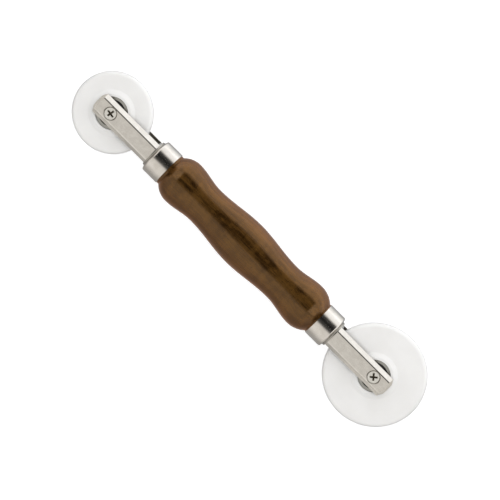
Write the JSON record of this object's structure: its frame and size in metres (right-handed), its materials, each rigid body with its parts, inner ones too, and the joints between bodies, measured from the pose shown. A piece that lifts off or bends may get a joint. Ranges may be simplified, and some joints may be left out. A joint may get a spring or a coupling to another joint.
{
  "type": "double-ended hand roller",
  "caption": "Hand roller with a turned wooden handle and, in a steel fork at each end, a smooth nylon wheel on a ball bearing, one wheel larger than the other.",
  "frame": {"origin": "middle of the handle, on its axis", "axes": "+X along the handle towards the large wheel, +Z along both axles towards the screw heads, up as the tool lies flat"},
  "size_m": [0.2224, 0.0508, 0.0246],
  "materials": {
    "varnished_walnut": "dark walnut, turned and gloss varnished",
    "nickel_plate": "turned steel, polished and nickel plated",
    "screw_nickel": "nickel plated steel screw",
    "wheel_nylon": "smooth white nylon, satin",
    "bearing_steel": "ground bearing steel",
    "turned_steel": "turned steel",
    "seal_rubber": "black nitrile rubber",
    "cage_nylon": "natural nylon, moulded"
  },
  "bodies": {
    "tool_frame": {"handle": "varnished_walnut", "small_ferrule": "nickel_plate", "small_fork": "nickel_plate", "small_axle_screw": "screw_nickel", "small_axle_sleeve": "turned_steel", "small_upper_spacer": "turned_steel", "small_lower_spacer": "turned_steel", "small_inner_race": "bearing_steel", "large_ferrule": "nickel_plate", "large_fork": "nickel_plate", "large_axle_screw": "screw_nickel", "large_axle_sleeve": "turned_steel", "large_upper_spacer": "turned_steel", "large_lower_spacer": "turned_steel", "large_inner_race": "bearing_steel"},
    "small_wheel_set": {"small_wheel": "wheel_nylon", "small_outer_race": "bearing_steel", "small_upper_seal": "seal_rubber", "small_lower_seal": "seal_rubber"},
    "small_ball_set": {"small_balls": "bearing_steel", "small_ball_cage": "cage_nylon"},
    "large_wheel_set": {"large_wheel": "wheel_nylon", "large_outer_race": "bearing_steel", "large_upper_seal": "seal_rubber", "large_lower_seal": "seal_rubber"},
    "large_ball_set": {"large_balls": "bearing_steel", "large_ball_cage": "cage_nylon"}
  },
  "joints": [
    {"name": "small_wheel_spin", "type": "hinge", "parent": "tool_frame", "child": "small_wheel_set", "pos_m": [-0.0885, 0, 0], "axis": [0, 0, 1], "continuous": true},
    {"name": "small_ball_set_spin", "type": "hinge", "parent": "tool_frame", "child": "small_ball_set", "pos_m": [-0.0885, 0, 0], "axis": [0, 0, 1], "continuous": true},
    {"name": "large_wheel_spin", "type": "hinge", "parent": "tool_frame", "child": "large_wheel_set", "pos_m": [0.0885, 0, 0], "axis": [0, 0, 1], "continuous": true},
    {"name": "large_ball_set_spin", "type": "hinge", "parent": "tool_frame", "child": "large_ball_set", "pos_m": [0.0885, 0, 0], "axis": [0, 0, 1], "continuous": true}
  ],
  "couplings": [
    {"joint": "small_ball_set_spin", "follows": "small_wheel_spin", "ratio": 0.63229},
    {"joint": "large_ball_set_spin", "follows": "large_wheel_spin", "ratio": 0.63229}
  ]
}
